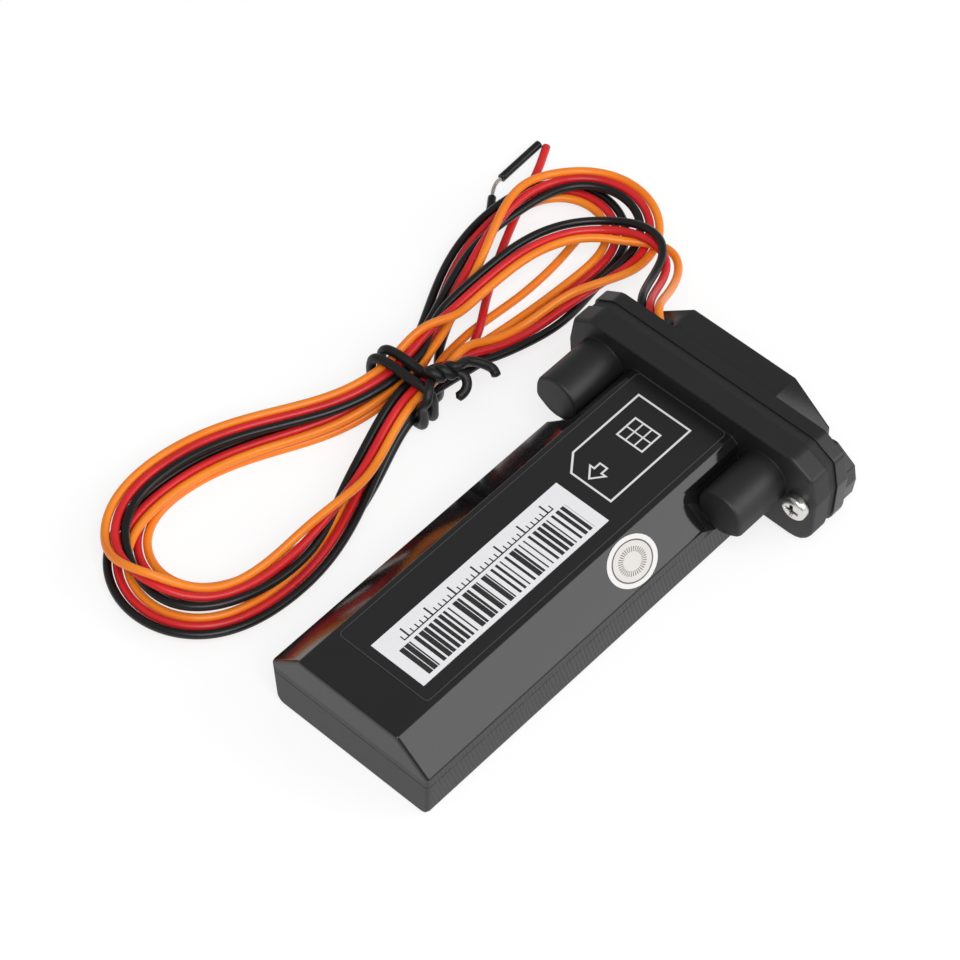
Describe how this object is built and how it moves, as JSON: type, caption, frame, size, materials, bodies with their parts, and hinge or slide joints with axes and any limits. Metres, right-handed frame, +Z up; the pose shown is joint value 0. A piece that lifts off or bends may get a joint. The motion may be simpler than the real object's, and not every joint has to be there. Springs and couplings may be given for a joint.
{
  "type": "gps tracker",
  "caption": "Waterproof vehicle tracker: black moulded housing, gasketed end cap with screws, circuit board and battery inside, wires tied in a hank.",
  "frame": {"origin": "centre of the housing's underside, on the surface that the tracker lies on, measured without the wires", "axes": "+X along the length towards the end cap, +Z up out of the labelled face, +Y towards the side where the wires leave"},
  "size_m": [0.1145, 0.0873, 0.0191],
  "materials": {
    "housing_plastic": "satin black moulded plastic",
    "cap_plastic": "satin black moulded plastic",
    "gasket_rubber": "matt black rubber",
    "screw_metal": "bright zinc",
    "grommet_rubber": "matt black rubber",
    "film": "semi-gloss black film",
    "paper": "white printed paper",
    "board": "green solder mask",
    "ceramic": "fired ceramic",
    "silver": "silvered",
    "can_metal": "tinned steel",
    "socket_metal": "stamped steel",
    "switch_plastic": "satin",
    "led": "clear",
    "inductor": "moulded ferrite",
    "copper_film": "amber film",
    "pouch": "foil pouch",
    "foam": "foam tape",
    "connector": "natural nylon",
    "pin_metal": "plated",
    "black_wire": "black insulation",
    "red_wire": "red insulation",
    "orange_wire": "orange insulation",
    "copper_strand": "tinned strands",
    "tie_plastic": "black soft plastic"
  },
  "bodies": {
    "housing": {"housing": "housing_plastic", "film_label": "film", "bar_sticker": "paper", "oval_sticker": "paper", "circuit_board": "board", "patch_antenna": "ceramic", "patch_electrode": "silver", "modem_can": "can_metal", "receiver_can": "can_metal", "card_socket": "socket_metal", "power_switch": "can_metal", "status_leds": "led", "capacitor": "silver", "coil_inductor": "inductor", "film_antenna": "copper_film", "battery": "pouch", "battery_tape": "foam", "wire_header": "connector", "header_pins": "pin_metal"},
    "cap": {"end_cap": "cap_plastic", "gasket": "gasket_rubber", "wire_grommet": "grommet_rubber", "wire_plug": "connector", "black_lead": "black_wire", "red_lead": "red_wire", "orange_lead": "orange_wire", "black_lead_in": "black_wire", "red_lead_in": "red_wire", "orange_lead_in": "orange_wire", "black_hank": "black_wire", "red_hank": "red_wire", "orange_hank": "orange_wire", "black_tip": "black_wire", "black_strand": "copper_strand", "twist_tie": "tie_plastic"},
    "left_screw": {"left_screw": "screw_metal"},
    "right_screw": {"right_screw": "screw_metal"},
    "switch_slider": {"switch_slider": "switch_plastic"}
  },
  "joints": [
    {"name": "cap_slide", "type": "slide", "parent": "housing", "child": "cap", "axis": [1, 0, 0], "range_m": [0, 0.03]},
    {"name": "left_screw_slide", "type": "slide", "parent": "housing", "child": "left_screw", "axis": [-1, 0, 0], "range_m": [0, 0.011]},
    {"name": "right_screw_slide", "type": "slide", "parent": "housing", "child": "right_screw", "axis": [-1, 0, 0], "range_m": [0, 0.011]},
    {"name": "power_switch_slide", "type": "slide", "parent": "housing", "child": "switch_slider", "axis": [0, 1, 0], "range_m": [0, 0.002]}
  ]
}
